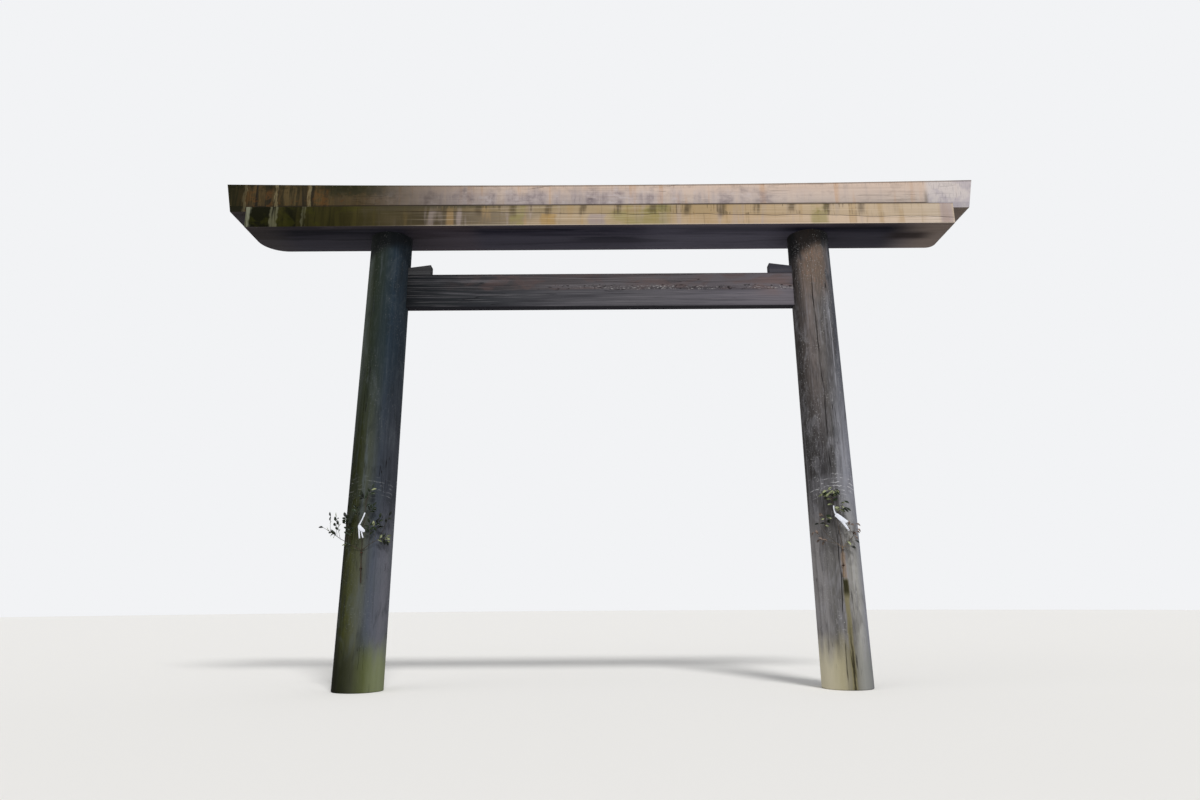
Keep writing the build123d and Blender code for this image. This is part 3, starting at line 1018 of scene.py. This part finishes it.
@dataclass
class Sprig:
    """A cut leafy branch, stapled upright to the front of a post.

    Its pale share is that of pale leaves on a pale shoot, and fresh shoots have a sixth of it. The
    stalk and the half widths are shares of a leaf's length, and its leaves take up the last
    leafy_steps of a shoot's route.
    """

    side: Side
    stem: tuple[tuple[float, float, float], ...]
    shoots: tuple[Shoot, ...]
    leaf_length: float
    droop: float
    pale: float
    bark: str
    seed: int
    stem_radius: float = 0.007
    leaf_thickness: float = 0.0007
    leafy_steps: float = 1.3
    stalk: float = 0.14
    stalk_half_width: float = 0.02
    blade_half_width: float = 0.20

    def build(self) -> bpy.types.Object:
        """Makes the wood and the leaves.

        Returns:
            The sprig, as one mesh with a bark slot after the leaves' slots.
        """
        chance = random.Random(self.seed)
        shape = bmesh.new()
        for shoot in self.shoots:
            self.add_leaves(shape, shoot, chance)
        self.add_wood(shape)
        return new_piece(f"{self.side.label}_sprig", shape, *self.materials())

    def add_wood(self, shape: bmesh.types.BMesh) -> None:
        """Adds the stem and every shoot as round tapered rods.

        Args:
            shape: The sprig's mesh.
        """
        line = bpy.data.curves.new("sprig_wood", "CURVE")
        line.dimensions = "3D"
        line.bevel_depth = 1.0
        line.bevel_resolution = 2
        line.resolution_u = 5
        line.use_fill_caps = True
        limbs = [(self.stem, self.stem_radius, self.stem_radius * 0.45)]
        limbs += [(shoot.route, shoot.radius, shoot.radius * 0.5) for shoot in self.shoots]
        for route, thick, thin in limbs:
            spline = line.splines.new("NURBS")
            spline.points.add(len(route) - 1)
            for index, (point, place) in enumerate(zip(spline.points, route)):
                point.co = (*on_post(self.side, *place), 1.0)
                point.radius = thick + (thin - thick) * index / (len(route) - 1)
            spline.order_u = 3
            spline.use_endpoint_u = True
        rods = bpy.data.meshes.new_from_object(bpy.data.objects.new("sprig_wood", line))
        first = len(shape.faces)
        shape.from_mesh(rods)
        shape.faces.ensure_lookup_table()
        for face in shape.faces[first:]:
            face.material_index = len(Leaf) * 2

    def add_leaves(self, shape: bmesh.types.BMesh, shoot: Shoot, chance: random.Random) -> None:
        """Adds a shoot's leaves, set alternately along its last part.

        Args:
            shape: The sprig's mesh.
            shoot: The shoot.
            chance: The source of small differences.
        """
        points = [on_post(self.side, *place) for place in shoot.route]
        for count in range(shoot.leaves):
            back = count / max(shoot.leaves, 2) * self.leafy_steps
            index = max(len(points) - 2 - int(back), 0)
            base = points[index + 1].lerp(points[index], min(back - int(back), 1.0))
            ahead = (points[index + 1] - points[index]).normalized()
            axis = self.side.value * (FOOT_SPACING / 2 - POST_LEAN * base.z / SOFFIT_HEIGHT)
            out = (base - Vector((axis, 0.0, base.z))).normalized()
            across = ahead.cross(out).normalized() * (1 if count % 2 else -1)
            spread = 0.15 if count == 0 else chance.uniform(0.6, 1.3)
            drop = Vector((0.0, 0.0, -self.droop * chance.uniform(0.6, 1.2)))
            facing = (ahead + across * spread + out * chance.uniform(0.0, 0.35) + drop).normalized()
            lie = out * 0.4 + Vector((0.0, -0.5, 0.6)) + across * chance.uniform(-0.6, 0.6)
            lie.normalize()
            side_way = lie.cross(facing).normalized()
            lie = facing.cross(side_way)
            turn = Matrix((facing, side_way, lie)).transposed().to_4x4()
            size = self.leaf_length * chance.uniform(0.8, 1.15)
            # Some leaves take the pale finish: partly paler leaves and partly a painted highlight on leaves
            # that catch the light
            kind = shoot.kind
            if kind is not Leaf.DRY:
                share = self.pale if kind is Leaf.PALE else self.pale / 6
                kind = Leaf.PALE if chance.random() < share else Leaf.FRESH
            self.add_leaf(shape, Matrix.Translation(base) @ turn @ Matrix.Scale(size, 4), size, kind)

    def add_leaf(self, shape: bmesh.types.BMesh, place: Matrix, size: float, kind: Leaf) -> None:
        """Adds one oval leaf with a short stalk, folded along its midrib and drooping to its tip.

        Args:
            shape: The sprig's mesh.
            place: Where the leaf starts and how it lies, for a leaf one unit long.
            size: The leaf's length.
            kind: The leaf's state.
        """
        flat = bmesh.ops.create_grid(shape, x_segments=6, y_segments=2, size=0.5)["verts"]
        curl = 0.5 if kind is Leaf.DRY else 0.12
        for vert in flat:
            along = vert.co.x + 0.5
            blade = max(along - self.stalk, 0.0) / (1.0 - self.stalk)
            half_width = 0.0
            if blade < 1.0:
                bulge = math.sin(math.pi * blade ** 0.85) ** 0.8
                half_width = self.stalk_half_width + self.blade_half_width * bulge
            across = vert.co.y * 2.0
            fold = abs(across) * half_width * (0.3 + curl)
            vert.co = (along, across * half_width, fold - 0.16 * along ** 2)
        faces = list({face for vert in flat for face in vert.link_faces})
        bmesh.ops.recalc_face_normals(shape, faces=faces)
        top = sum(face.normal.z for face in faces) > 0
        made = bmesh.ops.solidify(shape, geom=faces, thickness=self.leaf_thickness / size)["geom"]
        back = {face for face in made if isinstance(face, bmesh.types.BMFace)}
        for face in faces:
            face.material_index = kind.value if top else kind.value + 1
        for face in back:
            face.material_index = kind.value + 1 if top else kind.value
        verts = list({vert for face in [*faces, *back] for vert in face.verts})
        bmesh.ops.transform(shape, matrix=place, verts=verts)

    def materials(self) -> list[bpy.types.Material]:
        """Makes the leaves' and the bark's finishes, in the order of the slots."""
        label = self.side.label
        leaves = [LeafFinish(f"{label}_{name}", *looks).build() for name, *looks in LEAF_LOOKS]
        return [*leaves, BarkFinish(f"{label}_twig_bark", self.bark).build()]


@dataclass
class Streamer:
    """A paper streamer, cut and folded so that a narrow neck opens into a fan with two tails.

    Each fold is a strip of paper: rows of left and right edge points, as X and Z in millimetres from
    the knot, with how far the row stands out from the knot towards the viewer.
    """

    side: Side
    cut: tuple[float, float]
    area: float
    knot: tuple[float, float, float]
    folds: tuple[tuple[tuple[float, float, float, float, float], ...], ...]
    paper_thickness: float = 0.0006
    bow_mm: float = 5.0

    def build(self) -> bpy.types.Object:
        """Makes the folded strips.

        Returns:
            The streamer, as one mesh.
        """
        shape = bmesh.new()
        knot = on_post(self.side, *self.knot)
        for rows in self.folds:
            steps = len(rows) - 1
            grid = bmesh.ops.create_grid(shape, x_segments=4, y_segments=steps, size=0.5)["verts"]
            for vert in grid:
                left_x, left_z, right_x, right_z, out = rows[round((0.5 - vert.co.y) * steps)]
                share = vert.co.x + 0.5
                bow = self.bow_mm * math.sin(math.pi * share)
                vert.co = (
                    knot.x + (left_x + (right_x - left_x) * share) / 1000.0,
                    knot.y - (out + bow) / 1000.0,
                    knot.z + (left_z + (right_z - left_z) * share) / 1000.0,
                )
        bmesh.ops.recalc_face_normals(shape, faces=shape.faces)
        name = f"{self.side.label}_paper_streamer"
        streamer = new_piece(name, shape, PaperFinish(f"{name}_washi").build())
        smooth = streamer.modifiers.new("curve", "SUBSURF")
        smooth.levels = smooth.render_levels = 2
        smooth.boundary_smooth = "PRESERVE_CORNERS"
        wall = streamer.modifiers.new("paper", "SOLIDIFY")
        wall.thickness = self.paper_thickness
        wall.offset = 0.0
        return streamer


@dataclass
class Studio:
    """A pale floor, soft light and the camera at the photograph's place."""

    eye: tuple[float, float, float] = (-0.0102, -9.726, 0.9965)
    pitch: float = math.radians(14.04)
    roll: float = -0.0061
    lens_mm: float = 24.0
    floor_radius: float = 70.0

    def build(self) -> None:
        """Makes the floor, the lamps, the world and the camera."""
        self.add_floor()
        self.add_lamp("key", (38.0, -8.0, 30.0), 2.3, 14.0)
        self.add_lamp("fill", (62.0, 0.0, -55.0), 0.5, 60.0)
        self.add_world()
        self.add_camera()
        bpy.context.scene.view_settings.view_transform = "Standard"

    def add_floor(self) -> None:
        """Makes the pale floor, a little under the posts' feet."""
        material = bpy.data.materials.new("pale_floor")
        material.use_nodes = True
        surface = material.node_tree.nodes["Principled BSDF"].inputs
        surface["Base Color"].default_value = linear("e6e4e0")
        surface["Roughness"].default_value = 0.95
        shape = bmesh.new()
        bmesh.ops.create_circle(shape, cap_ends=True, radius=self.floor_radius, segments=96)
        bmesh.ops.translate(shape, verts=shape.verts, vec=(0.0, 0.0, -0.001))
        new_piece("floor", shape, material)

    def add_lamp(
        self, name: str, turn: tuple[float, float, float], strength: float, softness: float
    ) -> None:
        """Makes a far soft lamp.

        Args:
            name: The lamp's name.
            turn: Its turn about X, Y and Z in degrees.
            strength: Its light, where pi lights a white face fully.
            softness: Its width in the sky, in degrees.
        """
        lamp = bpy.data.lights.new(name, "SUN")
        lamp.energy = strength
        lamp.angle = math.radians(softness)
        holder = bpy.data.objects.new(name, lamp)
        holder.rotation_euler = tuple(math.radians(angle) for angle in turn)
        bpy.context.scene.collection.objects.link(holder)

    def add_world(self) -> None:
        """Makes an even sky that looks near white to the camera."""
        world = bpy.data.worlds.new("studio")
        world.use_nodes = True
        bpy.context.scene.world = world
        tree = world.node_tree
        tree.nodes.clear()
        path = add_node(tree, "ShaderNodeLightPath")
        shown = add_node(tree, "ShaderNodeBackground", {"Color": linear("f2f3f5"), "Strength": 1.0})
        lit = add_node(tree, "ShaderNodeBackground", {"Color": linear("f4f6fa"), "Strength": 0.42})
        seen = Figure(path.outputs["Is Camera Ray"])
        for ray in ("Is Glossy Ray", "Is Transmission Ray"):
            seen = seen | Figure(path.outputs[ray])
        mixed = add_node(tree, "ShaderNodeMixShader", {0: seen, 1: lit.outputs[0], 2: shown.outputs[0]})
        add_node(tree, "ShaderNodeOutputWorld", {"Surface": mixed.outputs[0]})

    def add_camera(self) -> None:
        """Makes the camera, which looks up at the lintel from head height under it."""
        ahead = Vector((0.0, math.cos(self.pitch), math.sin(self.pitch)))
        level = Vector((1.0, 0.0, 0.0))
        upright = Vector((0.0, -math.sin(self.pitch), math.cos(self.pitch)))
        right = math.cos(self.roll) * level + math.sin(self.roll) * upright
        up = -math.sin(self.roll) * level + math.cos(self.roll) * upright
        camera = bpy.data.cameras.new("camera")
        camera.lens = self.lens_mm
        camera.sensor_width = 36.0
        camera.clip_end = 300.0
        holder = bpy.data.objects.new("camera", camera)
        turn = Matrix((right, up, -ahead)).transposed().to_4x4()
        holder.matrix_world = Matrix.Translation(self.eye) @ turn
        bpy.context.scene.collection.objects.link(holder)
        bpy.context.scene.camera = holder


@dataclass
class LowerLintel:
    """The lower lintel beam, with its back arris underneath and its back corners worn round."""

    length: float = 9.03
    depth: float = 0.82
    height: float = 0.28
    arris: float = 0.006
    back_round: float = 0.09
    left_corner: float = 0.30
    right_corner: float = 0.09
    sharp_angle: float = 35.0

    def build(self) -> bpy.types.Object:
        """Squares the beam and wears its arrises and corners.

        Returns:
            The beam.
        """
        shape = bmesh.new()
        bmesh.ops.create_cube(shape, size=1.0)
        bmesh.ops.scale(shape, vec=(self.length, self.depth, self.height), verts=shape.verts)
        bmesh.ops.translate(shape, vec=(0.0, 0.0, SOFFIT_HEIGHT + self.height / 2), verts=shape.verts)
        for below, back in ((True, True), (True, False), (False, True), (False, False)):
            worn = below and back
            bmesh.ops.bevel(
                shape,
                geom=[self.long_arris(shape, below, back)],
                offset=self.back_round if worn else self.arris,
                offset_type="OFFSET",
                affect="EDGES",
                segments=10 if worn else 2,
                profile=0.5,
                material=-1,
            )
        self.set_back(shape, -1, self.left_corner)
        self.set_back(shape, 1, self.right_corner)
        finish = LowerFinish(
            "lower_lintel_cypress", SOFFIT_HEIGHT, self.height, half_depth=self.depth / 2, seed=21.0
        )
        beam = new_piece("worn_lower_lintel", shape, finish.build())
        beam.data.set_sharp_from_angle(angle=math.radians(self.sharp_angle))
        return beam

    def long_arris(self, shape: bmesh.types.BMesh, below: bool, back: bool) -> bmesh.types.BMEdge:
        """Finds one of the four long edges.

        Args:
            shape: The beam's mesh.
            below: Whether the edge is under the beam or on top.
            back: Whether it is at the back or in front.

        Returns:
            The edge.
        """
        level = SOFFIT_HEIGHT if below else SOFFIT_HEIGHT + self.height
        side = self.depth / 2 if back else -self.depth / 2
        return next(
            edge for edge in shape.edges
            if edge.calc_length() > self.length - 1e-4
            and all(abs(vert.co.z - level) + abs(vert.co.y - side) < 1e-4 for vert in edge.verts)
        )

    def set_back(self, shape: bmesh.types.BMesh, end: int, radius: float, steps: int = 14) -> None:
        """Wears an upright back corner round, by setting the back's section further in towards the end.

        Args:
            shape: The beam's mesh.
            end: The end, as the sign of its place along X.
            radius: The corner's radius.
            steps: The steps of its arc.
        """
        start = self.length / 2 - radius
        for step in range(steps):
            place = end * (start + radius * math.sin(math.pi / 2 * step / steps))
            everything = [*shape.verts, *shape.edges, *shape.faces]
            bmesh.ops.bisect_plane(
                shape, geom=everything, plane_co=(place, 0.0, 0.0), plane_no=(1.0, 0.0, 0.0)
            )
        for vert in shape.verts:
            past = vert.co.x * end - start
            if past > 0.0 and vert.co.y > 0.0:
                vert.co.y -= radius - math.sqrt(max(radius ** 2 - past ** 2, 0.0))


@dataclass
class Timbers:
    """The posts, the upper lintel, the tie beam and its wedges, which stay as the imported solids."""

    nodes: dict[str, bpy.types.Object]

    def dress(self) -> None:
        """Gives each timber its finish."""
        finishes = {
            # The left log's tones are darker overall than the right's: painted shade
            "left_post": LogFinish(
                "left_cypress_log",
                Side.LEFT,
                high=("4a4f49", "252b1e", "272f2d", "242f39", "252c33"),
                middle=("0f1203", "272a12", "42463a", "373c44", "383a41"),
                low=("080901", "3c3e21", "4e5042", "4a4f59", "62626a"),
                foot=("100f06", "1c1e13", "333526", "51562f", "787f5c"),
                shade="1e2224",
                pale="50565a",
                seed=3.0,
                specks=0.12,
                scratches=0.18,
                trail=0.0,
                warm_top=0.0,
                check_depth=0.0,
                line_place=(-0.035, 0.030, 1.7, 3.1),
                grain=0.6,
            ).build(),
            "right_post": LogFinish(
                "right_cypress_log",
                Side.RIGHT,
                high=("34302e", "6c6461", "5e5a58", "58585b", "3a3d46"),
                middle=("373534", "363435", "4a4949", "7e7f86", "73747e"),
                low=("868383", "5d5b59", "625f5e", "9a9892", "757780"),
                foot=("c2baa0", "a59d80", "6a6657", "858580", "767776"),
                shade="353334",
                pale="97969c",
                seed=11.0,
                specks=0.60,
                scratches=0.85,
                trail=1.0,
                warm_top=0.8,
                check_depth=1.0,
                line_place=(0.125, 0.014, 3.2, 4.9),
                grain=0.85,
            ).build(),
            "upper_lintel": UpperFinish(
                "upper_lintel_cypress", LINTEL_TOP, height=0.38, half_depth=0.28, seed=31.0
            ).build(),
            "tie_beam": TieFinish(
                "tie_beam_cypress",
                TIE_BOTTOM,
                tones=("0f1214", "2c2e31", "47464a", "555357", "5d5a60", "6a656b"),
                seed=41.0,
            ).build(),
            "left_wedge": TieFinish(
                "left_wedge_cypress", TIE_BOTTOM, tones=("525354", "525354"), seed=43.0
            ).build(),
            "right_wedge": TieFinish(
                "right_wedge_cypress", TIE_BOTTOM, tones=("585b68", "585b68"), seed=47.0
            ).build(),
        }
        iron = IronFinish("rusty_staple_iron").build()
        for side in Side:
            finishes[f"{side.label}_staples"] = iron
        for name, material in finishes.items():
            mesh = self.nodes[name].data
            mesh.materials.clear()
            mesh.materials.append(material)
            LOG.info("dressed %s with %s", name, material.name)


SPRIGS = (
    Sprig(
        Side.LEFT,
        stem=((1.205, 5.0, 0.0075), (1.371, 2.3, 0.0075), (1.546, 1.2, 0.0075), (1.59, 1.2, 0.0075)),
        shoots=(
            Shoot(
                ((1.56, 1.2, 0.008), (1.7, 2, 0.036), (1.88, 3, 0.05), (2.003, 3.9, 0.055), (2.2, 6, 0.05)),
                2,
                radius=0.0045,
            ),
            Shoot(((2.05, 4, 0.054), (2.12, 4, 0.055), (2.17, 1, 0.055), (2.19, -4, 0.06)), 6),
            Shoot(((2.14, 5, 0.052), (2.22, 9, 0.055), (2.29, 14, 0.055)), 4),
            Shoot(((1.88, 3, 0.05), (1.96, 8, 0.05), (2.02, 13, 0.05), (2.07, 18, 0.055)), 6),
            Shoot(((1.7, 2, 0.036), (1.84, -6, 0.045), (1.97, -11, 0.05), (2.05, -15, 0.055)), 6),
            Shoot(
                (
                    (1.57, 1.2, 0.008),
                    (1.635, -20, 0.04),
                    (1.695, -46, 0.06),
                    (1.78, -68, 0.14),
                    (1.85, -75, 0.25),
                ),
                2,
                Leaf.PALE,
                0.0036,
            ),
            Shoot(((1.66, -33, 0.05), (1.78, -36, 0.06), (1.88, -37, 0.065), (1.95, -38, 0.07)), 8),
            Shoot(((1.65, -28, 0.045), (1.76, -30, 0.055), (1.88, -33, 0.06)), 5, Leaf.PALE),
            Shoot(((1.65, -24, 0.042), (1.74, -26, 0.05), (1.83, -25, 0.055)), 6),
            Shoot(((1.7, -47, 0.08), (1.78, -48, 0.11), (1.86, -47, 0.12)), 4),
            Shoot(((1.74, -57, 0.1), (1.86, -54, 0.13), (1.96, -50, 0.14)), 5),
            Shoot(((1.8, -70, 0.17), (1.89, -66, 0.18), (1.97, -61, 0.19)), 4),
            Shoot(((1.72, -54, 0.08), (1.755, -62, 0.11), (1.79, -70, 0.15)), 6),
            Shoot(((1.6, -10, 0.02), (1.62, -22, 0.03), (1.64, -33, 0.045)), 4),
            Shoot(
                ((1.57, 1.2, 0.008), (1.64, 16, 0.036), (1.7, 34, 0.045), (1.74, 52, 0.045)),
                6,
                Leaf.PALE,
                0.0036,
            ),
            Shoot(((1.7, 36, 0.045), (1.71, 46, 0.045), (1.69, 54, 0.05)), 4, Leaf.PALE),
            Shoot(((1.64, 16, 0.036), (1.76, 16, 0.042), (1.88, 14, 0.045)), 6),
            Shoot(((1.76, 16, 0.042), (1.84, 22, 0.045), (1.89, 27, 0.05)), 3),
            Shoot(((1.66, 22, 0.04), (1.8, 29, 0.05), (1.94, 34, 0.05)), 5),
            Shoot(((1.77, 40, 0.05), (1.88, 48, 0.052), (1.98, 54, 0.055)), 3),
        ),
        leaf_length=0.068,
        droop=0.25,
        pale=0.24,
        bark="3a2f26",
        seed=7,
    ),
    Sprig(
        Side.RIGHT,
        stem=((1.236, -2.6, 0.0075), (1.371, -1.6, 0.0075), (1.546, 0.6, 0.0075), (1.587, -0.4, 0.0075)),
        shoots=(
            Shoot(
                (
                    (1.56, 0.6, 0.008),
                    (1.7, -3, 0.036),
                    (1.9, -8, 0.046),
                    (2.052, -11.9, 0.056),
                    (2.2, -17, 0.05),
                ),
                6,
                Leaf.PALE,
                0.004,
            ),
            Shoot(((2.12, -13.5, 0.053), (2.18, -17, 0.055), (2.24, -22, 0.055)), 6, Leaf.PALE),
            Shoot(((2.12, -14, 0.052), (2.17, -21, 0.055), (2.2, -29, 0.055)), 3),
            Shoot(((2.14, -14.5, 0.052), (2.2, -11, 0.055), (2.25, -6, 0.055)), 6, Leaf.PALE),
            Shoot(((2.1, -13, 0.052), (2.18, -11, 0.055), (2.23, -8, 0.055)), 3),
            Shoot(((1.9, -8, 0.046), (1.99, -2, 0.05), (2.08, 2, 0.055)), 5, Leaf.PALE),
            Shoot(((1.96, -2, 0.05), (2.0, 5, 0.05), (2.03, 11, 0.055)), 3),
            Shoot(((1.99, 0, 0.05), (2.05, 6, 0.05), (2.11, 10, 0.055)), 1),
            Shoot(
                ((1.57, 0.4, 0.008), (1.64, -16, 0.036), (1.74, -34, 0.05), (1.85, -44, 0.05)),
                1,
                radius=0.003,
            ),
            Shoot(((1.76, -35, 0.05), (1.83, -32, 0.052), (1.89, -28, 0.055)), 4),
            Shoot(((1.82, -34, 0.05), (1.9, -32, 0.052), (1.95, -29, 0.055)), 3, Leaf.PALE),
            Shoot(((1.85, -44, 0.05), (1.93, -43, 0.052), (1.98, -40, 0.055)), 2, Leaf.DRY),
            Shoot(((1.62, -14, 0.03), (1.64, -30, 0.045), (1.67, -44, 0.05)), 4, Leaf.DRY),
            Shoot(((1.66, -30, 0.045), (1.71, -44, 0.05), (1.76, -56, 0.055)), 2, Leaf.DRY),
            Shoot(
                ((1.57, 0.4, 0.008), (1.64, 14, 0.036), (1.74, 30, 0.05), (1.85, 34, 0.045)),
                1,
                Leaf.DRY,
                0.003,
            ),
            Shoot(((1.64, 14, 0.036), (1.75, 20, 0.05), (1.88, 18, 0.05)), 4, Leaf.DRY),
            Shoot(((1.64, 14, 0.036), (1.7, 28, 0.045), (1.79, 36, 0.05)), 4, Leaf.DRY),
            Shoot(((1.6, 4, 0.02), (1.62, 7, 0.03), (1.65, 9, 0.035)), 1),
            Shoot(((1.58, 4, 0.015), (1.575, 11, 0.025), (1.587, 17, 0.035)), 1),
            Shoot(((1.6, 8, 0.025), (1.63, 20, 0.035), (1.655, 29, 0.045)), 1),
        ),
        leaf_length=0.07,
        droop=1.25,
        pale=0.72,
        bark="84715c",
        seed=19,
    ),
)

STREAMERS = (
    Streamer(
        Side.LEFT,
        cut=(0.1, 0.3),
        area=0.0115,
        knot=(2.003, 3.9, 0.059),
        folds=(
            (
                (-8, 0, 8, 0, 1),
                (-16, -40, -1, -38, 6),
                (-38, -95, -23, -91, 10),
                (-64, -142, -45, -144, 11),
            ),
            (
                (-64, -138, -44, -140, 10),
                (-69, -162, -8, -176, 14),
                (-60, -190, 27, -207, 15),
                (-38, -214, 8, -228, 11),
            ),
            ((-67, -170, -48, -174, 8), (-60, -215, -44, -218, 9), (-51, -298, -34, -297, 4)),
            ((-36, -205, -16, -212, 9), (-26, -245, -10, -246, 9), (-11, -292, 5, -290, 4)),
        ),
    ),
    Streamer(
        Side.RIGHT,
        cut=(0.1, 0.3),
        area=0.0158,
        knot=(2.052, -11.9, 0.06),
        folds=(
            (
                (-7, 0, 7, 0, 1),
                (-9, -36, 4, -34, 5),
                (-5, -70, 8, -66, 8),
                (6, -108, 22, -90, 10),
                (24, -136, 52, -100, 12),
            ),
            (
                (-2, -118, 30, -88, 12),
                (34, -158, 80, -122, 17),
                (74, -196, 122, -158, 15),
                (118, -208, 158, -184, 8),
            ),
            ((60, -176, 88, -158, 10), (98, -226, 120, -208, 10), (150, -296, 165, -284, 4)),
        ),
    ),
)


def place(piece: bpy.types.Object, slot: str, node: str) -> None:
    """Lets a piece stand for a node of the frame.

    Args:
        piece: The new piece.
        slot: The record's material slot, which is not used.
        node: The node that it replaces.
    """
    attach(piece, "root")
    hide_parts(node)
    LOG.info("made %s in place of %s", piece.name, node)


def main() -> None:
    """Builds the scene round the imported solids."""
    logging.basicConfig(level=logging.INFO, format="%(name)s: %(message)s")
    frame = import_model()
    Studio().build()
    Timbers(frame["nodes"]).dress()
    place(LowerLintel().build(), "lintel_timber", "lower_lintel")
    for sprig in SPRIGS:
        place(sprig.build(), "twig_bark", f"{sprig.side.label}_twig")
    for streamer in STREAMERS:
        paper = streamer.build()
        place(paper, "streamer_paper", f"{streamer.side.label}_streamer")
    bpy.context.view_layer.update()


if __name__ == "__main__":
    main()
